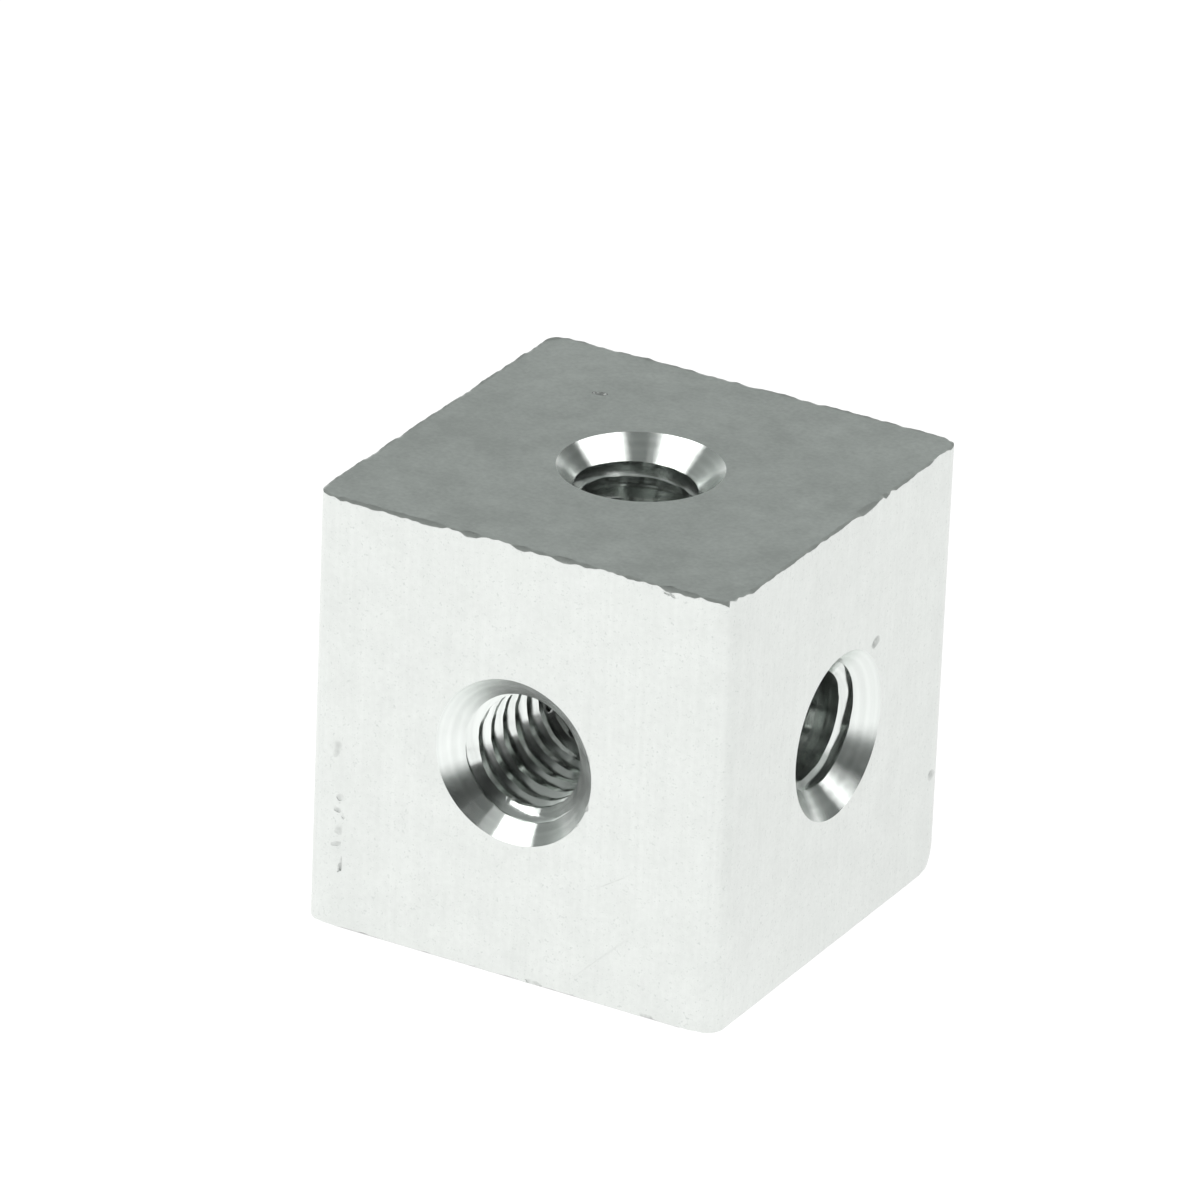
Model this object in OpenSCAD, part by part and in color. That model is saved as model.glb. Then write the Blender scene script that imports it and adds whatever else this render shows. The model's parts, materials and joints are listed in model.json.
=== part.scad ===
// Cube connector: a block cut from square aluminium bar, with a tapped hole right through it on each of
// its three axes. The holes cross at the block's centre, and both mouths of each are countersunk.
// Millimetres, +Z up along the bar, origin where the three holes cross.

/* [Bar] */
// Side of the square bar
bar_side = 10; // [8:0.5:20]
// Length that the bar is cut to
cut_length = 10; // [8:0.5:20]
// Radius along the four long edges of the bar
long_edge_radius = 0.5; // [0.2:0.1:1.5]

/* [Tapped holes] */
// Nominal diameter of the metric thread
thread_diameter = 3; // [2:0.5:5]
// Pitch of the thread
thread_pitch = 0.5; // [0.4:0.05:0.8]

/* [Countersinks] */
// Width of the countersink's rim, at the face, outside the thread
rim_width = 0.375; // [0.1:0.025:0.75]
// Included angle of the countersink
countersink_angle = 90; // [60:5:120]

/* [Hidden] */
$fn = 96;

// A tapping drill leaves a bore one pitch smaller than the thread
bore_radius = (thread_diameter - thread_pitch) / 2;
mouth_radius = thread_diameter / 2 + rim_width;
countersink_slope = tan(countersink_angle / 2);
countersink_depth = (mouth_radius - bore_radius) / countersink_slope;
// How far each hole's tool runs out past the face
tool_overrun = 1;
aluminium = [0.86, 0.875, 0.87];

// Section of the drawn bar: a square with round corners
module bar_section() {
    flat_width = bar_side - 2 * long_edge_radius;
    corner_place = flat_width / 2;
    square([bar_side, flat_width], center = true);
    square([flat_width, bar_side], center = true);
    for (x = [-corner_place, corner_place], y = [-corner_place, corner_place])
        translate([x, y]) circle(r = long_edge_radius);
}

// The bar, cut to length
module cut_bar() {
    linear_extrude(height = cut_length, center = true) bar_section();
}

// All that is cut away for one hole along Z: the bore and the countersink at either mouth
module through_hole(length) {
    face = length / 2;
    bore_end = face - countersink_depth;
    tool_end = face + tool_overrun;
    tool_radius = mouth_radius + tool_overrun * countersink_slope;
    rotate_extrude()
        polygon([
            [0, -tool_end], [tool_radius, -tool_end], [bore_radius, -bore_end],
            [bore_radius, bore_end], [tool_radius, tool_end], [0, tool_end],
        ]);
}

module connector_block() {
    color(aluminium)
        difference() {
            cut_bar();
            through_hole(cut_length);
            rotate([90, 0, 0]) through_hole(bar_side);
            rotate([0, 90, 0]) through_hole(bar_side);
        }
}

connector_block();
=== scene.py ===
"""Cube connector: a block cut from square aluminium bar, tapped and countersunk on its three axes.

The block is one piece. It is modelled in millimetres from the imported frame's sizes and turned to metres
at the end: the bar with its rounded long edges, the saw's burr round its cut ends, the three tapped holes
as true helical threads, the six countersinks, and the nicks and scratches that it carries.
"""
import json
import math

import bmesh
import bpy
from mathutils import Matrix, Vector, noise


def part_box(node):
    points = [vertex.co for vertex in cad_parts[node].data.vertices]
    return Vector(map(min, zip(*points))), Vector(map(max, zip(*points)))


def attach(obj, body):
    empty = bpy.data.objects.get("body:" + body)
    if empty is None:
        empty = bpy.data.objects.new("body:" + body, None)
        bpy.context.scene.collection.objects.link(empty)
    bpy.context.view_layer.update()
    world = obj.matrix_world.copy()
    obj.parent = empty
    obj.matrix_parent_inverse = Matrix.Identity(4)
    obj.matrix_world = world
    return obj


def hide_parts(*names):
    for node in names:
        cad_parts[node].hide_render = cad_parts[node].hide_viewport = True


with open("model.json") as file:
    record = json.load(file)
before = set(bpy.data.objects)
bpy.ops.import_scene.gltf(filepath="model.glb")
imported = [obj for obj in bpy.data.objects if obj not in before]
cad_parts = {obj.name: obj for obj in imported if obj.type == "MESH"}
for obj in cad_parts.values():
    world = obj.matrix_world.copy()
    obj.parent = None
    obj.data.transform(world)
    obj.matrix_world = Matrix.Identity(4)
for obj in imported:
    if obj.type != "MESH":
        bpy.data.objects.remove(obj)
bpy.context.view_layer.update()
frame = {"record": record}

MM = 0.001
NODE = "connector_block"
LEVEL_X = Vector((1, 0, 0))
LEVEL_Y = Vector((0, 1, 0))
UPRIGHT = Vector((0, 0, 1))

# The bar. This and all the block's sizes are in millimetres
LOW, HIGH = (Vector(corner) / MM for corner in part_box(NODE))
LONG_EDGE_RADIUS = 0.5
LONG_EDGE_STEPS = 20
BAR_ROWS = 20
# An edge that is longer than this runs straight along the bar or across its end
STRAIGHT = 1

# The saw's burr stands up to the CAD's ends, so the cut faces lie this far inside them, and its tips stay
# this far short of them
TOP_BURR = 0.08
FOOT_BURR = 0.04
TIP_GAP = 0.008
# It is a lip round the end's edge: how wide its foot is on the end and down the side, how many faces go over
# it from foot to foot, and how far apart its points lie along the edge
BURR_FOOT_WIDTH = 0.06
BURR_FACES = 2
BURR_SPACING = 0.05
# How far its tip leans in from the side, and how far its foot strays on the end and down the side, in waves
# of this size
BURR_LEAN = 0.006
STRAY_ON_END = 0.03
STRAY_DOWN_SIDE = 0.025
STRAY_WAVE = 0.2
STRAY_SEED = 3
# At the front corner a tooth of burr carries the front edge on past the rounding, by this share of the way,
# and hangs down at its tip
TOOTH_SHARE = 0.9
TOOTH_DROP = 0.09
# How ragged each side's edge is: the saw ran out at the front
BURR_SHARE = ((-LEVEL_Y, 1.0), (LEVEL_X, 0.5), (-LEVEL_X, 0.4), (LEVEL_Y, 0.4))
# Fins and notches along an edge: their length, which is also their seed, and height. Wear has taken a little
# off them all, and a notch goes no deeper than this below the cut
BURR_WAVES = ((0.45, 0.08), (0.18, 0.05))
BURR_WEAR = 0.015
DEEPEST_NOTCH = 0.12
# The block's weight has pressed the foot's burr flat: how much of its unevenness is left, and how far the
# front edge stays off the floor
FOOT_PRESSED = 0.35
FOOT_GAP = 0.014
# Along the top end's edges: tongues of burr, each full at its first point and thinned out at its second,
# and dips, each deepest halfway. A point of the edge belongs to one if it lies this close beside its line
BURR_TONGUES = (
    (Vector((HIGH.x, -4.7, HIGH.z)), Vector((HIGH.x, -4.1, HIGH.z))),
    (Vector((HIGH.x, 1.77, HIGH.z)), Vector((HIGH.x, 2.05, HIGH.z))),
    (Vector((HIGH.x, 4.1, HIGH.z)), Vector((HIGH.x, 3.2, HIGH.z))),
    (Vector((HIGH.x, 4.1, HIGH.z)), Vector((HIGH.x, 4.5, HIGH.z))),
)
BURR_DIPS = (
    (Vector((HIGH.x, 0.3, HIGH.z)), Vector((HIGH.x, 1.45, HIGH.z)), 0.07),
    (Vector((HIGH.x, 1.45, HIGH.z)), Vector((HIGH.x, 1.75, HIGH.z)), 0.05),
    (Vector((-4.6, LOW.y, HIGH.z)), Vector((-3.75, LOW.y, HIGH.z)), 0.05),
    (Vector((-3.4, LOW.y, HIGH.z)), Vector((-2.5, LOW.y, HIGH.z)), 0.03),
    (Vector((3.20, LOW.y, HIGH.z)), Vector((3.85, LOW.y, HIGH.z)), 0.08),
)
BESIDE = 0.3

# A knock has pushed in the corner at the back right of the foot: how far in, how far up it reaches, and how
# much of the metal's thickness behind it gave way
KNOCK_WAY = Vector((1, 1, 0)).normalized()
KNOCK_DEPTH = 0.10
KNOCK_REACH = 0.6
KNOCK_GIVE = 0.3
# Lines of points to bend it by: rows up the long edge, and lines this far in from the sides
KNOCK_ROWS = 5
KNOCK_LINES = (0.7, 1.0, 1.4)

# The thread, M3 coarse, cut on the bore that the record states, its flanks at half of 60 degrees
HOLES = [mount for mount in frame["record"]["mounts"] if mount["kind"] == "threaded_hole"]
CREST_RADIUS = HOLES[0]["dims"]["r_mm"]
PITCH = 0.5
ROOT_RADIUS = CREST_RADIUS + PITCH / 2
FLANK_SLOPE = math.tan(math.radians(30))
ROOT_FLAT = PITCH / 8
TURN_STEPS = 72
# How far a tap runs out past the face, and where on its turn each tap started to cut, in degrees
TAP_OVERRUN = 1
TAP_STARTS = {"right_hole": 105, "back_hole": 148, "top_hole": 261}
# How far the flanks are torn, and the size and seed of the waves in and out, and of those along the hole
TEAR = 0.018
TEAR_IN_OUT = ((0.5, 4), (0.16, 5))
TEAR_ALONG = (0.3, 6)
# The ends of two turns that lie closer than this are joined
TURN_JOIN = 0.005

# The countersinks, and how far their tool runs out past the face
MOUTH_RADIUS = 1.875
CONE_STEPS = 128
CONE_OVERRUN = 0.5

# Faces that carry marks: across and up, seen from outside
SIDES = {"front": (LEVEL_X, UPRIGHT), "right": (LEVEL_Y, UPRIGHT), "top": (LEVEL_X, LEVEL_Y)}
# Dents, nicks and scratches: side, across, up, slant in degrees, length, width, depth
NICKS = (
    ("front", -4.24, -0.83, 80, 0.34, 0.22, 0.012),
    ("front", -4.12, -1.88, 60, 0.30, 0.14, 0.008),
    ("front", -4.22, -2.22, 130, 0.24, 0.14, 0.014),
    ("front", -4.06, -2.36, 100, 0.20, 0.08, 0.010),
    ("front", -4.14, -2.66, 70, 0.40, 0.20, 0.012),
    ("front", -4.22, -3.04, 20, 0.34, 0.10, 0.007),
    ("front", -4.10, -3.54, 84, 0.50, 0.11, 0.026),
    ("front", 2.35, -3.82, 45, 1.95, 0.05, 0.004),
    ("front", 2.43, -2.10, 34, 1.05, 0.04, 0.003),
    ("front", 0.66, -4.93, 0, 0.50, 0.10, 0.012),
    ("front", 3.42, -4.94, 4, 0.36, 0.09, 0.012),
    ("front", 1.74, 0.54, 107, 0.20, 0.12, 0.020),
    ("front", 1.74, -0.54, 73, 0.30, 0.13, 0.020),
    ("front", 1.54, -0.96, 58, 0.24, 0.12, 0.020),
    ("front", 3.50, 4.80, -14, 0.42, 0.09, 0.020),
    ("right", 1.50, 1.58, 0, 0.26, 0.20, 0.016),
    ("right", 4.42, -2.70, 90, 0.34, 0.26, 0.020),
    ("top", -2.62, 2.78, 20, 0.28, 0.16, 0.040),
)
# Each is cut by a stretched, uneven ball whose middle stands above the face by this share of its half height
NICK_LIFT = 0.5
NICK_UNEVEN = 0.6
NICK_SUBDIVISIONS = 3
NICK_SEED = 7
# The marks turn darker down to this depth below the sides
DARKENING_DEPTH = 0.04

# Points that lie closer than this are one, a point this close to a line or a plane lies on it, and a step
# shorter than this has no direction
SAME_POINT = 0.0002
ON_LINE = 0.001
NO_LENGTH = 1e-6
# Edges that turn more than this are shaded as sharp
SHARP = math.radians(30)
# A face is level if its normal rises more than the first, and upright if it rises less than the second
LEVEL_RISE = 0.99999
UPRIGHT_RISE = 0.0001

# The first three of the block's finishes, by number
DRAWN, FACED, COUNTERSUNK = range(3)
# A colour Mix node's sockets, by number: its share, its two colours and its result
MIX_SHARE, MIX_FIRST, MIX_SECOND, MIXED = 0, 6, 7, 2
# Most of a noise's values lie in this span
NOISE_SPAN = {"From Min": 0.3, "From Max": 0.7}
# Painted shade deep inside, where the holes meet: it is full up to the first depth from the block's middle,
# and gone from the second
INNER_SHADE_SPAN = {"From Min": 1.1, "From Max": 1.8}

# The camera, at the photograph's angle: degrees to the right of the front, up, and of roll, the distance in
# metres, and, in the photograph's pixels, its side, the focal length and where the block's middle is seen
AZIMUTH, ELEVATION, ROLL = (math.radians(angle) for angle in (28.806, 24.934, 2.386))
DISTANCE = 0.21653
IMAGE = 1200
FOCAL_PX = 10208.9
CENTRE_PX = (631.86, 677.94)
SENSOR_WIDTH = 36
NEAREST_SEEN = 0.01
# Level directions: to the camera's right, and away from it
RIGHT = Vector((math.cos(AZIMUTH), math.sin(AZIMUTH), 0))
AWAY = UPRIGHT.cross(RIGHT)

# The floor, in metres, and the painted glow of its paper at the front left and at the back right, a painted
# falloff of light that changes over this distance to either side of the middle
FLOOR_RADIUS = 3
FLOOR_STEPS = 96
PAINTED_PAPER_GLOW = (1.11, 1.0)
GLOW_SPAN = 0.004
TO_BACK_RIGHT = (math.sin(AZIMUTH), math.cos(AZIMUTH), 0)
# Under the block a painted shade dims the paper's glow, up to a blunt corner, where its sides add up to
# this. Then how wide the shade's edge is, both in millimetres, and how much of the glow is left
SHADE_CORNER = 9.2
SHADE_EDGE = 0.08
SHADE_LEFT = 0.3

# Softboxes, level, above the block to the left and right: how far to the right of the camera's line and how
# far back the middle of each lies, its turn in degrees, length, width, all for a height of 1, and brightness
SOFTBOXES = (
    ("right softbox", 0.82, 0.03, 39, 1.26, 0.62, 2.6),
    ("left softbox", -0.78, -0.05, 142, 1.08, 0.60, 2.6),
    ("near end of the left softbox", -0.38, -0.60, 142, 0.50, 0.24, 0.9),
)
SOFTBOX_HEIGHT = 0.5

# The studio's light: white at the horizon, and above it a grey with a slight green tint, linear, which
# sets in between these rises. A rise goes from 0, the horizon, to 1, straight up
DOME = ((0.0, 1.0), (0.08, 1.0), (0.2, 0.60), (0.42, 0.31), (0.7, 0.28), (1.0, 0.27))
DOME_TINT = (0.945, 1.0, 0.97, 1)
TINT_SPAN = {"From Min": 0.08, "From Max": 0.2}
# Dark places in it, as seen from the block: degrees to the right of the camera and up, how much light is
# left there, and the half angles of the core and of the rim
DARK_PLACES = ((-8, 22, 0.10, 16, 36), (50, 32, 0.35, 14, 38), (115, 18, 0.5, 12, 35))


def srgb(text):
    """An sRGB hex colour as linear RGBA."""
    channels = [int(text[i:i + 2], 16) / 255 for i in (1, 3, 5)]
    return [c / 12.92 if c <= 0.04045 else ((c + 0.055) / 1.055) ** 2.4 for c in channels] + [1.0]


def join(tree, node, links):
    """Joins other nodes' outputs to a node's inputs, by name or number."""
    for name, source in links.items():
        tree.links.new(source, node.inputs[name])


def add_node(tree, kind, settings=None, links=None):
    """Adds a node. Settings go to its inputs, by name or number, or to its own properties; links join
    other nodes' outputs to its inputs."""
    node = tree.nodes.new(kind)
    for name, value in (settings or {}).items():
        if isinstance(name, int) or name in node.inputs:
            node.inputs[name].default_value = value
        else:
            setattr(node, name, value)
    join(tree, node, links or {})
    return node


def mesh_object(name, bm, *materials):
    """A mesh object made from a bmesh."""
    mesh = bpy.data.meshes.new(name)
    bm.to_mesh(mesh)
    bm.free()
    for material in materials:
        mesh.materials.append(material)
    thing = bpy.data.objects.new(name, mesh)
    bpy.context.scene.collection.objects.link(thing)
    return thing


def turned_to(axis):
    """The turn that takes +Z to an axis."""
    return UPRIGHT.rotation_difference(Vector(axis)).to_matrix().to_4x4()


def waves(co, size, seed):
    """Smooth noise about zero with waves of about this size, in millimetres. A seed picks its own stretch."""
    return noise.noise(co / size + Vector((seed, 2.7 * seed, 5.1 * seed)))


def on_section(co):
    """The nearest point of the bar's section at a point's height, and the level direction out of the bar
    there."""
    core = HIGH.x - LONG_EDGE_RADIUS
    nearest = Vector((max(-core, min(core, co.x)), max(-core, min(core, co.y)), co.z))
    if (co - nearest).length > NO_LENGTH:
        out = (co - nearest).normalized()
    elif abs(co.x) > abs(co.y):
        out = LEVEL_X * math.copysign(1, co.x)
    else:
        out = LEVEL_Y * math.copysign(1, co.y)
    return nearest + out * LONG_EDGE_RADIUS, out


def share_along(co, start, end):
    """How far along from start to end a point near that line lies, from 0 to 1, or None."""
    share = (co - start).dot((end - start).normalized()) / (end - start).length
    return share if 0 <= share <= 1 and (co - start.lerp(end, share)).length < BESIDE else None


def burr_height(co, out, full):
    """How high the saw's burr stands at a point of a cut end's edge, or how deep a notch goes below the
    cut."""
    ragged = sum(part * max(0, out.dot(side)) ** 2 for side, part in BURR_SHARE)
    height = ragged * (sum(tall * waves(co, long, long) for long, tall in BURR_WAVES) - BURR_WEAR)
    for start, end in BURR_TONGUES:
        share = share_along(co, start, end)
        if share is not None:
            height += full * (1 - share)
    for start, end, depth in BURR_DIPS:
        share = share_along(co, start, end)
        if share is not None:
            height -= depth * math.sin(math.pi * share) ** 2
    if co.z < 0:
        height = full - FOOT_GAP * ragged ** 2 + FOOT_PRESSED * height
    return max(-DEEPEST_NOTCH, min(full, height))


def rise(edge):
    """How far an edge goes up or down."""
    return abs(edge.verts[0].co.z - edge.verts[1].co.z)


def cut_across(bm, place, way):
    """Adds a line of edges where a plane crosses the bar."""
    geom = bm.verts[:] + bm.edges[:] + bm.faces[:]
    bmesh.ops.bisect_plane(bm, geom=geom, plane_co=place, plane_no=way)


def knock_corner(bm):
    """Pushes in the corner that was knocked, deepest at the foot and fading out up the long edge."""
    for row in range(1, KNOCK_ROWS + 1):
        cut_across(bm, UPRIGHT * (LOW.z + KNOCK_REACH * row / KNOCK_ROWS), UPRIGHT)
    for way in (LEVEL_X, LEVEL_Y):
        for inward in KNOCK_LINES:
            cut_across(bm, way * (HIGH.x - inward), way)
    corner = KNOCK_WAY * ((HIGH.x - LONG_EDGE_RADIUS) * math.sqrt(2) + LONG_EDGE_RADIUS)
    for vert in bm.verts:
        near = max(0, 1 - (vert.co.z - LOW.z) / KNOCK_REACH)
        still = corner.length - KNOCK_DEPTH * near ** 2 - KNOCK_GIVE
        reach = vert.co.dot(KNOCK_WAY)
        if near and reach > still:
            vert.co += KNOCK_WAY * (still - reach) * (1 - KNOCK_GIVE / (corner.length - still))


def cut_bar():
    """The bar, cut to length: its long edges rounded, and the saw's burr standing round both cut ends."""
    bm = bmesh.new()
    top, foot = HIGH.z - TOP_BURR, LOW.z + FOOT_BURR
    size = Matrix.Diagonal((HIGH.x - LOW.x, HIGH.y - LOW.y, top - foot, 1))
    bmesh.ops.create_cube(bm, size=1, matrix=Matrix.Translation((0, 0, (top + foot) / 2)) @ size)
    long_edges = [edge for edge in bm.edges if rise(edge) > STRAIGHT]
    bmesh.ops.bevel(bm, geom=long_edges, offset=LONG_EDGE_RADIUS, segments=LONG_EDGE_STEPS, profile=0.5,
                    affect="EDGES", material=-1)
    straight = [edge for edge in bm.edges if edge.calc_length() > STRAIGHT and rise(edge) < STRAIGHT]
    bmesh.ops.bisect_edges(bm, edges=straight, cuts=round(straight[0].calc_length() / BURR_SPACING))
    rim = [edge for edge in bm.edges if rise(edge) < STRAIGHT]
    lip = bmesh.ops.bevel(bm, geom=rim, offset=BURR_FOOT_WIDTH, segments=BURR_FACES, profile=0.5,
                          affect="EDGES", material=-1)
    for vert in lip["verts"]:
        edge, out = on_section(vert.co)
        end, full, way = (top, TOP_BURR, 1) if vert.co.z > 0 else (foot, FOOT_BURR, -1)
        down = abs(vert.co.z - end)
        edge.z = end
        height = burr_height(edge, out, full - TIP_GAP)
        # From about 0 to 1
        stray = 0.5 + waves(edge, STRAY_WAVE, STRAY_SEED)
        if down < ON_LINE:
            vert.co -= out * (STRAY_ON_END * stray + max(0, -height))
        elif down > BURR_FOOT_WIDTH - ON_LINE:
            vert.co.z += way * STRAY_DOWN_SIDE * stray - way * max(0, -height - BURR_FOOT_WIDTH / 2)
        else:
            vert.co = edge - out * BURR_LEAN + UPRIGHT * way * height
            if way > 0 and 0 < out.x < -out.y:
                vert.co += out * TOOTH_SHARE * LONG_EDGE_RADIUS * (-1 / out.y - 1)
                vert.co.z += TOOTH_DROP * out.x / out.y
    for row in range(1, BAR_ROWS):
        cut_across(bm, UPRIGHT * (foot + (top - foot) * row / BAR_ROWS), UPRIGHT)
    knock_corner(bm)
    return bm


def tap(start):
    """What a tap cuts: its profile swept round one turn, the turn repeated along the hole, the flanks a
    little torn, and flat ends outside the block."""
    reach = HIGH.x + TAP_OVERRUN
    half_root = ROOT_FLAT / 2
    half_crest = PITCH / 2 - half_root - (ROOT_RADIUS - CREST_RADIUS) * FLANK_SLOPE
    profile = (
        (ROOT_RADIUS, -half_root), (ROOT_RADIUS, half_root),
        (CREST_RADIUS, PITCH / 2 - half_crest), (CREST_RADIUS, PITCH / 2 + half_crest),
        (ROOT_RADIUS, PITCH - half_root),
    )
    bm = bmesh.new()
    verts = [bm.verts.new((radius, 0, height - reach - PITCH)) for radius, height in profile]
    edges = [bm.edges.new(pair) for pair in zip(verts, verts[1:])]
    bmesh.ops.spin(bm, geom=verts + edges, cent=(0, 0, 0), axis=UPRIGHT, dvec=UPRIGHT * PITCH / TURN_STEPS,
                   angle=2 * math.pi, steps=TURN_STEPS)
    turn = bm.verts[:] + bm.edges[:] + bm.faces[:]
    # A turn to spare at either end
    turns = math.ceil(2 * reach / PITCH) + 2
    for count in range(1, turns):
        copy = bmesh.ops.duplicate(bm, geom=turn)["geom"]
        points = [part for part in copy if isinstance(part, bmesh.types.BMVert)]
        bmesh.ops.translate(bm, vec=UPRIGHT * PITCH * count, verts=points)
    bmesh.ops.remove_doubles(bm, verts=bm.verts, dist=TURN_JOIN)
    for vert in bm.verts:
        ripple = TEAR * sum(waves(vert.co, size, seed) for size, seed in TEAR_IN_OUT)
        vert.co += Vector((vert.co.x, vert.co.y, 0)).normalized() * ripple
        vert.co.z += TEAR * waves(vert.co, *TEAR_ALONG)
    for end in (-UPRIGHT, UPRIGHT):
        geom = bm.verts[:] + bm.edges[:] + bm.faces[:]
        bmesh.ops.bisect_plane(bm, geom=geom, plane_co=end * reach, plane_no=end, clear_outer=True)
    bmesh.ops.holes_fill(bm, edges=[edge for edge in bm.edges if edge.is_boundary], sides=0)
    bmesh.ops.recalc_face_normals(bm, faces=bm.faces)
    bmesh.ops.rotate(bm, cent=(0, 0, 0), matrix=Matrix.Rotation(math.radians(start), 3, "Z"), verts=bm.verts)
    return bm


def countersinks():
    """What a countersink tool cuts at the six mouths: a right-angled cone at each, run out past the face."""
    bm = bmesh.new()
    depth = MOUTH_RADIUS + CONE_OVERRUN
    for hole in HOLES:
        axis = Vector(hole["axis"])
        middle = axis * (HIGH.x + CONE_OVERRUN - depth / 2)
        bmesh.ops.create_cone(bm, segments=CONE_STEPS, radius1=0, radius2=depth, depth=depth, cap_ends=True,
                              matrix=Matrix.Translation(middle) @ turned_to(axis))
    bmesh.ops.remove_doubles(bm, verts=bm.verts, dist=SAME_POINT)
    bmesh.ops.recalc_face_normals(bm, faces=bm.faces)
    return bm


def nicks():
    """What knocks and scratches took out of the faces: a stretched, uneven ball for each."""
    bm = bmesh.new()
    spread = 1 / math.sqrt(1 - NICK_LIFT ** 2)
    for side, across, up, slant, length, width, depth in NICKS:
        u, v = SIDES[side]
        out = u.cross(v)
        face = HIGH.z - TOP_BURR if side == "top" else HIGH.x
        half_height = depth / (1 - NICK_LIFT)
        size = Matrix.Diagonal((length / 2 * spread, width / 2 * spread, half_height, 1))
        ball = bmesh.ops.create_icosphere(bm, subdivisions=NICK_SUBDIVISIONS, radius=1, matrix=size)
        for vert in ball["verts"]:
            vert.co *= 1 + NICK_UNEVEN * waves(vert.co, width, NICK_SEED + across + up)
        place = Matrix.Translation(out * (face + half_height * NICK_LIFT) + u * across + v * up)
        turn = Matrix((u, v, out)).transposed().to_4x4() @ Matrix.Rotation(math.radians(slant), 4, "Z")
        bmesh.ops.transform(bm, matrix=place @ turn, verts=ball["verts"])
    return bm


def cut_away(block, tools):
    """Cuts tools out of the block. The cut faces keep the tool's finish."""
    for tool in tools:
        cut = block.modifiers.new(tool.name, "BOOLEAN")
        cut.operation = "DIFFERENCE"
        cut.solver = "MANIFOLD"
        cut.material_mode = "TRANSFER"
        cut.object = tool
    bpy.context.view_layer.update()
    shaped = block.evaluated_get(bpy.context.evaluated_depsgraph_get())
    plain = block.data
    block.data = bpy.data.meshes.new_from_object(shaped)
    block.data.name = block.name
    block.modifiers.clear()
    for mesh in [plain] + [tool.data for tool in tools]:
        bpy.data.meshes.remove(mesh)


def clean_cuts(bm):
    """Joins the points that two cuts share, takes away the crumbs that the tools left loose in the holes,
    which is all but the largest connected piece, and takes out the points in the middle of an edge."""
    bmesh.ops.remove_doubles(bm, verts=bm.verts, dist=SAME_POINT)
    left = set(bm.faces)
    pieces = []
    while left:
        piece = [left.pop()]
        for face in piece:
            for edge in face.edges:
                joined = [other for other in edge.link_faces if other in left]
                left.difference_update(joined)
                piece.extend(joined)
        pieces.append(piece)
    pieces.sort(key=len)
    bmesh.ops.delete(bm, geom=[face for piece in pieces[:-1] for face in piece], context="FACES")
    bmesh.ops.dissolve_verts(bm, verts=[vert for vert in bm.verts if len(vert.link_edges) == 2])


def bare_aluminium(name):
    """A new bare metal: its material, node tree and shader, and the surface's place in millimetres."""
    material = bpy.data.materials.new(name)
    material.use_nodes = True
    tree = material.node_tree
    shader = tree.nodes["Principled BSDF"]
    shader.inputs["Metallic"].default_value = 1
    where = add_node(tree, "ShaderNodeTexCoord")
    place = add_node(tree, "ShaderNodeVectorMath", {"operation": "SCALE", "Scale": 1 / MM}, {
        0: where.outputs["Object"]})
    return material, tree, shader, place.outputs["Vector"]


def from_middle(tree, place):
    """How far a place lies from the block's middle along each axis, and the largest of the three."""
    sizes = add_node(tree, "ShaderNodeVectorMath", {"operation": "ABSOLUTE"}, {0: place})
    parts = add_node(tree, "ShaderNodeSeparateXYZ", {}, {0: sizes.outputs["Vector"]})
    wider = add_node(tree, "ShaderNodeMath", {"operation": "MAXIMUM"}, {
        0: parts.outputs["X"], 1: parts.outputs["Y"]})
    widest = add_node(tree, "ShaderNodeMath", {"operation": "MAXIMUM"}, {
        0: wider.outputs["Value"], 1: parts.outputs["Z"]})
    return parts.outputs, widest.outputs["Value"]


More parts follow.
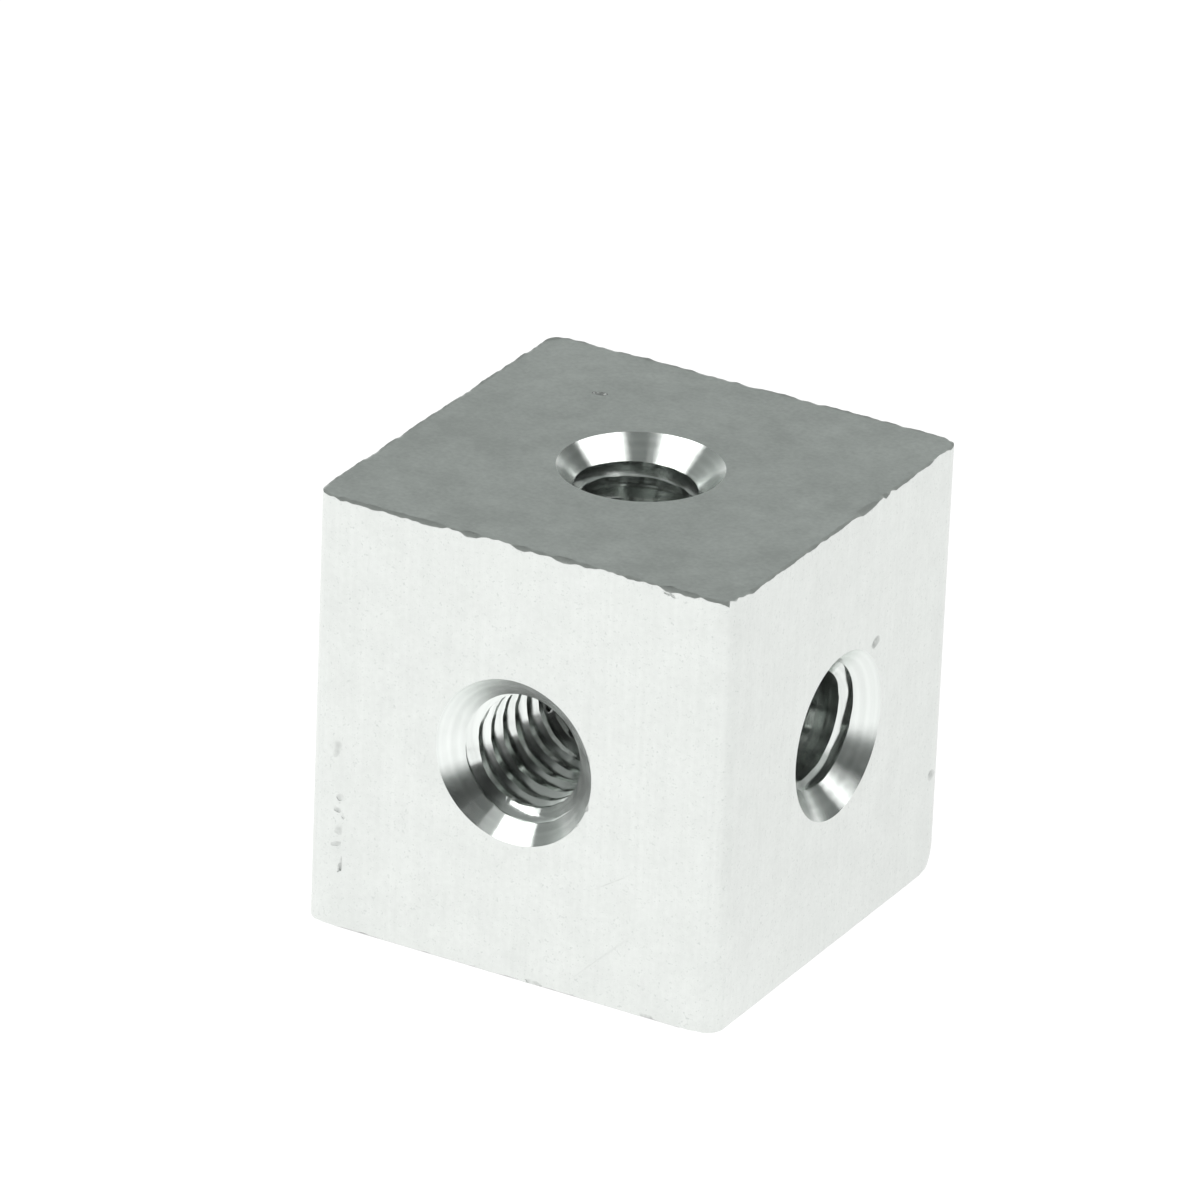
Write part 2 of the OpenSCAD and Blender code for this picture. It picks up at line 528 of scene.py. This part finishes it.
def drawn_finish():
    """Drawn aluminium bar: a pale satin metal that blurs what it mirrors, with a grain about a tenth of a
    millimetre across, fine dark pits, soft clouds, and faint lines along the bar from the die."""
    grain_width, cloud_width, pit_width = 0.12, 0.8, 0.06
    line_width, line_length = 0.09, 7
    relief_height = 0.0012
    material, tree, shader, place = bare_aluminium("drawn aluminium bar")
    grain = add_node(tree, "ShaderNodeTexNoise", {
        "Scale": 1 / grain_width, "Detail": 3, "Roughness": 0.6}, {"Vector": place})
    along = add_node(tree, "ShaderNodeMapping", {
        "Scale": (1 / line_width, 1 / line_width, 1 / line_length)}, {"Vector": place})
    lines = add_node(tree, "ShaderNodeTexNoise", {"Scale": 1, "Detail": 2}, {
        "Vector": along.outputs["Vector"]})
    clouds = add_node(tree, "ShaderNodeTexNoise", {"Scale": 1 / cloud_width, "Detail": 2}, {"Vector": place})
    pitted = add_node(tree, "ShaderNodeTexNoise", {"Scale": 1 / pit_width, "Detail": 1}, {"Vector": place})
    pits = add_node(tree, "ShaderNodeMapRange", {"From Min": 0.60, "From Max": 0.85}, {
        "Value": pitted.outputs["Fac"]})
    worn = add_node(tree, "ShaderNodeMath", {"operation": "MULTIPLY_ADD", 1: 0.45}, {
        0: lines.outputs["Fac"], 2: grain.outputs["Fac"]})
    cloudy = add_node(tree, "ShaderNodeMath", {"operation": "MULTIPLY_ADD", 1: 0.6}, {
        0: clouds.outputs["Fac"], 2: worn.outputs["Value"]})
    tone = add_node(tree, "ShaderNodeMapRange", {"From Min": 0.75, "From Max": 1.3}, {
        "Value": cloudy.outputs["Value"]})
    bright = add_node(tree, "ShaderNodeMix", {
        "data_type": "RGBA", MIX_FIRST: srgb("#D9DCD9"), MIX_SECOND: srgb("#E2E5E2")}, {
        MIX_SHARE: tone.outputs["Result"]})
    colour = add_node(tree, "ShaderNodeMix", {"data_type": "RGBA", MIX_SECOND: srgb("#C9CDCA")}, {
        MIX_SHARE: pits.outputs["Result"], MIX_FIRST: bright.outputs[MIXED]})
    rough = add_node(tree, "ShaderNodeMapRange", NOISE_SPAN | {"To Min": 0.30, "To Max": 0.36}, {
        "Value": grain.outputs["Fac"]})
    relief = add_node(tree, "ShaderNodeMath", {"operation": "SUBTRACT"}, {
        0: worn.outputs["Value"], 1: pits.outputs["Result"]})
    bump = add_node(tree, "ShaderNodeBump", {"Strength": 1, "Distance": relief_height * MM}, {
        "Height": relief.outputs["Value"]})
    join(tree, shader, {
        "Base Color": colour.outputs[MIXED], "Roughness": rough.outputs["Result"],
        "Normal": bump.outputs["Normal"]})
    return material


def faced_finish():
    """Faced aluminium, the bar's cut ends: an even satin with a fine mottle and faint arcs round the hole,
    where the facing tool turned."""
    grain_width, cloud_width, arc_width = 0.10, 0.9, 0.35
    relief_height = 0.0012
    material, tree, shader, place = bare_aluminium("faced aluminium")
    grain = add_node(tree, "ShaderNodeTexNoise", {
        "Scale": 1 / grain_width, "Detail": 3, "Roughness": 0.6}, {"Vector": place})
    clouds = add_node(tree, "ShaderNodeTexNoise", {"Scale": 1 / cloud_width, "Detail": 3}, {"Vector": place})
    level = add_node(tree, "ShaderNodeVectorMath", {"operation": "MULTIPLY", 1: (1, 1, 0)}, {0: place})
    radius = add_node(tree, "ShaderNodeVectorMath", {"operation": "LENGTH"}, {0: level.outputs["Vector"]})
    arcs = add_node(tree, "ShaderNodeTexNoise", {
        "noise_dimensions": "1D", "Scale": 1 / arc_width, "Detail": 2}, {"W": radius.outputs["Value"]})
    swept = add_node(tree, "ShaderNodeMath", {"operation": "MULTIPLY_ADD", 1: 0.2}, {
        0: arcs.outputs["Fac"], 2: grain.outputs["Fac"]})
    cloudy = add_node(tree, "ShaderNodeMath", {"operation": "MULTIPLY_ADD", 1: 1.2}, {
        0: clouds.outputs["Fac"], 2: swept.outputs["Value"]})
    tone = add_node(tree, "ShaderNodeMapRange", {"From Min": 0.9, "From Max": 1.6}, {
        "Value": cloudy.outputs["Value"]})
    colour = add_node(tree, "ShaderNodeMix", {
        "data_type": "RGBA", MIX_FIRST: srgb("#D8DCD9"), MIX_SECOND: srgb("#EFF3F0")}, {
        MIX_SHARE: tone.outputs["Result"]})
    rough = add_node(tree, "ShaderNodeMapRange", NOISE_SPAN | {"To Min": 0.30, "To Max": 0.36}, {
        "Value": grain.outputs["Fac"]})
    bump = add_node(tree, "ShaderNodeBump", {"Strength": 1, "Distance": relief_height * MM}, {
        "Height": swept.outputs["Value"]})
    join(tree, shader, {
        "Base Color": colour.outputs[MIXED], "Roughness": rough.outputs["Result"],
        "Normal": bump.outputs["Normal"]})
    return material


def turned_finish(name, dark, bright, smoothest, roughest, smear):
    """Aluminium cut by a turning tool: a clear, slightly broken mirror with fine rings round the hole,
    darkened by painted shade deep inside, where the holes meet. Smear draws what it mirrors out along the
    hole, across the rings, and leaves it sharp round them."""
    ring_width, chatter_width = 0.09, 0.35
    relief_height = 0.001
    material, tree, shader, place = bare_aluminium(name)
    shader.inputs["Anisotropic"].default_value = smear
    parts, depth = from_middle(tree, place)
    on_axis = {way: add_node(tree, "ShaderNodeMath", {"operation": "COMPARE", 2: ON_LINE}, {
        0: parts[way], 1: depth}).outputs["Value"] for way in "XYZ"}
    axis = add_node(tree, "ShaderNodeCombineXYZ", {}, on_axis)
    rings = add_node(tree, "ShaderNodeTexNoise", {
        "noise_dimensions": "1D", "Scale": 1 / ring_width, "Detail": 2}, {"W": depth})
    chatter = add_node(tree, "ShaderNodeTexNoise", {"Scale": 1 / chatter_width, "Detail": 1}, {
        "Vector": place})
    relief = add_node(tree, "ShaderNodeMath", {"operation": "MULTIPLY_ADD", 1: 2.5}, {
        0: chatter.outputs["Fac"], 2: rings.outputs["Fac"]})
    bump = add_node(tree, "ShaderNodeBump", {"Strength": 1, "Distance": relief_height * MM}, {
        "Height": relief.outputs["Value"]})
    tone = add_node(tree, "ShaderNodeMapRange", NOISE_SPAN, {"Value": rings.outputs["Fac"]})
    unshaded_tone = add_node(tree, "ShaderNodeMix", {
        "data_type": "RGBA", MIX_FIRST: srgb(dark), MIX_SECOND: srgb(bright)}, {
        MIX_SHARE: tone.outputs["Result"]})
    # Painted shade: a flat dark grey is mixed in deep inside, where the holes meet, in place of the shade
    # there
    outside_painted_shade = add_node(tree, "ShaderNodeMapRange", INNER_SHADE_SPAN, {"Value": depth})
    colour = add_node(tree, "ShaderNodeMix", {"data_type": "RGBA", MIX_FIRST: srgb("#727472")}, {
        MIX_SHARE: outside_painted_shade.outputs["Result"], MIX_SECOND: unshaded_tone.outputs[MIXED]})
    rough = add_node(tree, "ShaderNodeMapRange", NOISE_SPAN | {"To Min": smoothest, "To Max": roughest}, {
        "Value": chatter.outputs["Fac"]})
    join(tree, shader, {
        "Base Color": colour.outputs[MIXED], "Roughness": rough.outputs["Result"],
        "Normal": bump.outputs["Normal"], "Tangent": axis.outputs["Vector"]})
    return material


def nicked_finish():
    """Knocked and scratched aluminium: as pale as the bar at the mark's edge, turning a dull darker grey
    towards its bottom."""
    patch_width = 0.12
    material, tree, shader, place = bare_aluminium("knocked aluminium")
    level = from_middle(tree, place)[1]
    deep = add_node(tree, "ShaderNodeMapRange", {"From Min": HIGH.x, "From Max": HIGH.x - DARKENING_DEPTH}, {
        "Value": level})
    patchy = add_node(tree, "ShaderNodeTexNoise", {"Scale": 1 / patch_width, "Detail": 2}, {"Vector": place})
    spread = add_node(tree, "ShaderNodeMapRange", NOISE_SPAN | {"To Min": 0.5, "To Max": 1.3}, {
        "Value": patchy.outputs["Fac"]})
    # Darker and rougher towards the mark's bottom
    deep_darkening = add_node(tree, "ShaderNodeMath", {"operation": "MULTIPLY", "use_clamp": True}, {
        0: deep.outputs["Result"], 1: spread.outputs["Result"]})
    colour = add_node(tree, "ShaderNodeMix", {
        "data_type": "RGBA", MIX_FIRST: srgb("#DDE0DD"), MIX_SECOND: srgb("#8E918F")}, {
        MIX_SHARE: deep_darkening.outputs["Value"]})
    rough = add_node(tree, "ShaderNodeMapRange", {"To Min": 0.34, "To Max": 0.46}, {
        "Value": deep_darkening.outputs["Value"]})
    join(tree, shader, {"Base Color": colour.outputs[MIXED], "Roughness": rough.outputs["Result"]})
    return material


def on_cone(co):
    """The direction out of the metal at a point of a countersink's right-angled cone."""
    sizes = [abs(part) for part in co]
    side = sizes.index(max(sizes))
    out = Vector((0, 0, 0))
    out[side] = math.copysign(1, co[side])
    return (out - (co - out * sizes[side]).normalized()).normalized()


def shade_true(mesh):
    """Shades the drawn sides true to the bar's section, the countersinks true to their cones and the cut ends
    flat, and lets what meets them at a soft angle run into them."""
    normals = [corner.vector.copy() for corner in mesh.corner_normals]
    true = {}
    for face in mesh.polygons:
        drawn = face.material_index == DRAWN and abs(face.normal.z) < UPRIGHT_RISE
        cone = face.material_index == COUNTERSUNK
        if drawn or cone or abs(face.normal.z) > LEVEL_RISE:
            for vert in face.vertices:
                co = mesh.vertices[vert].co / MM
                way = on_section(co)[1] if drawn else on_cone(co) if cone else face.normal.copy()
                true.setdefault(vert, []).append(way)
    for corner, loop in enumerate(mesh.loops):
        for way in true.get(loop.vertex_index, ()):
            if way.dot(normals[corner]) > math.cos(SHARP):
                normals[corner] = way
    mesh.normals_split_custom_set(normals)


def make_block():
    """The block, finished, in metres."""
    drawn, faced = drawn_finish(), faced_finish()
    countersunk = turned_finish("countersunk aluminium", "#E2E6E3", "#EBEFEC", 0.19, 0.23, smear=1.0)
    tapped = turned_finish("tapped aluminium", "#DEE2DF", "#EAEEEB", 0.15, 0.20, smear=0.0)
    nicked = nicked_finish()
    block = mesh_object("tapped_cube", cut_bar(), drawn, faced, countersunk, tapped, nicked)
    tools = []
    for hole in HOLES:
        if hole["name"] in TAP_STARTS:
            cutter = tap(TAP_STARTS[hole["name"]])
            bmesh.ops.transform(cutter, matrix=turned_to(hole["axis"]), verts=cutter.verts)
            tools.append(mesh_object("tap", cutter, tapped))
    tools.append(mesh_object("countersinks", countersinks(), countersunk))
    tools.append(mesh_object("nicks", nicks(), nicked))
    cut_away(block, tools)
    bm = bmesh.new()
    bm.from_mesh(block.data)
    clean_cuts(bm)
    for face in bm.faces:
        face.smooth = True
        if face.material_index == DRAWN and abs(face.normal.z) > LEVEL_RISE:
            face.material_index = FACED
    for edge in bm.edges:
        edge.smooth = edge.calc_face_angle(0) < SHARP
    bmesh.ops.scale(bm, vec=(MM, MM, MM), verts=bm.verts)
    bm.to_mesh(block.data)
    bm.free()
    shade_true(block.data)
    return block


def set_camera():
    """The camera, at the photograph's angle, with the block where the photograph has it."""
    back = Vector((
        math.sin(AZIMUTH) * math.cos(ELEVATION),
        -math.cos(AZIMUTH) * math.cos(ELEVATION),
        math.sin(ELEVATION),
    ))
    right = math.cos(ROLL) * RIGHT + math.sin(ROLL) * back.cross(RIGHT)
    up = back.cross(right)
    place = back * DISTANCE
    place -= right * (CENTRE_PX[0] - IMAGE / 2) * DISTANCE / FOCAL_PX
    place += up * (CENTRE_PX[1] - IMAGE / 2) * DISTANCE / FOCAL_PX
    lens = bpy.data.cameras.new("camera")
    lens.sensor_width = SENSOR_WIDTH
    lens.lens = FOCAL_PX / IMAGE * SENSOR_WIDTH
    lens.clip_start = NEAREST_SEEN
    camera = bpy.data.objects.new("camera", lens)
    camera.matrix_world = Matrix((right, up, back)).transposed().to_4x4()
    camera.location = place
    bpy.context.scene.collection.objects.link(camera)
    bpy.context.scene.camera = camera


def paper_finish():
    """Bright white paper: matt, with a painted glow, brighter at the front left, so strong that it shows
    little shadow, and a painted shade under the block."""
    material = bpy.data.materials.new("white paper")
    material.use_nodes = True
    tree = material.node_tree
    paper = tree.nodes["Principled BSDF"]
    paper.inputs["Base Color"].default_value = srgb("#606060")
    paper.inputs["Roughness"].default_value = 0.9
    paper.inputs["Specular IOR Level"].default_value = 0.0
    paper.inputs["Emission Color"].default_value = srgb("#FFFFFF")
    spot = add_node(tree, "ShaderNodeTexCoord")
    backwards = add_node(tree, "ShaderNodeVectorMath", {"operation": "DOT_PRODUCT", 1: TO_BACK_RIGHT}, {
        0: spot.outputs["Object"]})
    # Painted light: the paper glows, brighter at the front left, in place of light falling off to the back
    # right
    glow = add_node(tree, "ShaderNodeMapRange", {
        "From Min": -GLOW_SPAN, "From Max": GLOW_SPAN, "To Min": PAINTED_PAPER_GLOW[0], "To Max": PAINTED_PAPER_GLOW[1]}, {
        "Value": backwards.outputs["Value"]})
    footprint = add_node(tree, "ShaderNodeVectorMath", {"operation": "ABSOLUTE"}, {0: spot.outputs["Object"]})
    sides = add_node(tree, "ShaderNodeSeparateXYZ", {}, {0: footprint.outputs["Vector"]})
    wider = add_node(tree, "ShaderNodeMath", {"operation": "MAXIMUM"}, {
        0: sides.outputs["X"], 1: sides.outputs["Y"]})
    across = add_node(tree, "ShaderNodeMath", {"operation": "ADD"}, {
        0: sides.outputs["X"], 1: sides.outputs["Y"]})
    corners = add_node(tree, "ShaderNodeMath", {"operation": "MULTIPLY", 1: HIGH.x / SHADE_CORNER}, {
        0: across.outputs["Value"]})
    beside = add_node(tree, "ShaderNodeMath", {"operation": "MAXIMUM"}, {
        0: wider.outputs["Value"], 1: corners.outputs["Value"]})
    # Painted shade: the glow is cut down under the block's footprint
    beyond_painted_shade = add_node(tree, "ShaderNodeMapRange", {
        "From Min": (HIGH.x - SHADE_EDGE) * MM, "From Max": HIGH.x * MM, "To Min": SHADE_LEFT}, {
        "Value": beside.outputs["Value"]})
    painted_glow = add_node(tree, "ShaderNodeMath", {"operation": "MULTIPLY"}, {
        0: glow.outputs["Result"], 1: beyond_painted_shade.outputs["Result"]})
    join(tree, paper, {"Emission Strength": painted_glow.outputs["Value"]})
    return material


def lay_floor():
    """The floor: a round sheet of white paper at the block's foot."""
    bm = bmesh.new()
    bmesh.ops.create_circle(bm, cap_ends=True, segments=FLOOR_STEPS, radius=FLOOR_RADIUS,
                            matrix=Matrix.Translation(UPRIGHT * LOW.z * MM))
    return mesh_object("floor", bm, paper_finish())


def hang_softboxes():
    """The softboxes, level, facing down."""
    for name, sideways, backwards, turn, length, width, radiance in SOFTBOXES:
        light = bpy.data.lights.new(name, "AREA")
        light.shape = "RECTANGLE"
        light.size, light.size_y = length * SOFTBOX_HEIGHT, width * SOFTBOX_HEIGHT
        light.energy = radiance * math.pi * light.size * light.size_y
        lamp = bpy.data.objects.new(name, light)
        lamp.location = (RIGHT * sideways + AWAY * backwards + UPRIGHT) * SOFTBOX_HEIGHT
        lamp.rotation_euler.z = AZIMUTH + math.radians(turn)
        bpy.context.scene.collection.objects.link(lamp)


def light_studio():
    """The studio's dome of light, with its dark places."""
    world = bpy.data.worlds.new("studio")
    bpy.context.scene.world = world
    world.use_nodes = True
    tree = world.node_tree
    where = add_node(tree, "ShaderNodeTexCoord")
    height = add_node(tree, "ShaderNodeSeparateXYZ", {}, {0: where.outputs["Generated"]})
    dome = add_node(tree, "ShaderNodeFloatCurve", {}, {"Value": height.outputs["Z"]})
    curve = dome.mapping.curves[0]
    for point, (rising, shade) in zip(curve.points, (DOME[0], DOME[-1])):
        point.location = rising, shade
    for rising, shade in DOME[1:-1]:
        curve.points.new(rising, shade)
    dome.mapping.update()
    glow = dome.outputs["Value"]
    for aside, rising, light_left, core, rim in DARK_PLACES:
        aside, rising, core, rim = (math.radians(angle) for angle in (aside, rising, core, rim))
        level = RIGHT * math.sin(aside) - AWAY * math.cos(aside)
        middle = level * math.cos(rising) + UPRIGHT * math.sin(rising)
        near = add_node(tree, "ShaderNodeVectorMath", {"operation": "DOT_PRODUCT", 1: middle}, {
            0: where.outputs["Generated"]})
        dim = add_node(tree, "ShaderNodeMapRange", {
            "interpolation_type": "SMOOTHSTEP", "From Min": math.cos(rim), "From Max": math.cos(core),
            "To Min": 1, "To Max": light_left}, {"Value": near.outputs["Value"]})
        glow = add_node(tree, "ShaderNodeMath", {"operation": "MULTIPLY"}, {
            0: glow, 1: dim.outputs["Result"]}).outputs["Value"]
    tinted = add_node(tree, "ShaderNodeMapRange", TINT_SPAN, {"Value": height.outputs["Z"]})
    tint = add_node(tree, "ShaderNodeMix", {
        "data_type": "RGBA", MIX_FIRST: srgb("#FFFFFF"), MIX_SECOND: DOME_TINT}, {
        MIX_SHARE: tinted.outputs["Result"]})
    join(tree, tree.nodes["Background"], {"Color": tint.outputs[MIXED], "Strength": glow})


block = make_block()
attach(block, "root")
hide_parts(NODE)
set_camera()
floor = lay_floor()
hang_softboxes()
light_studio()

bpy.context.scene.view_settings.view_transform = "Standard"
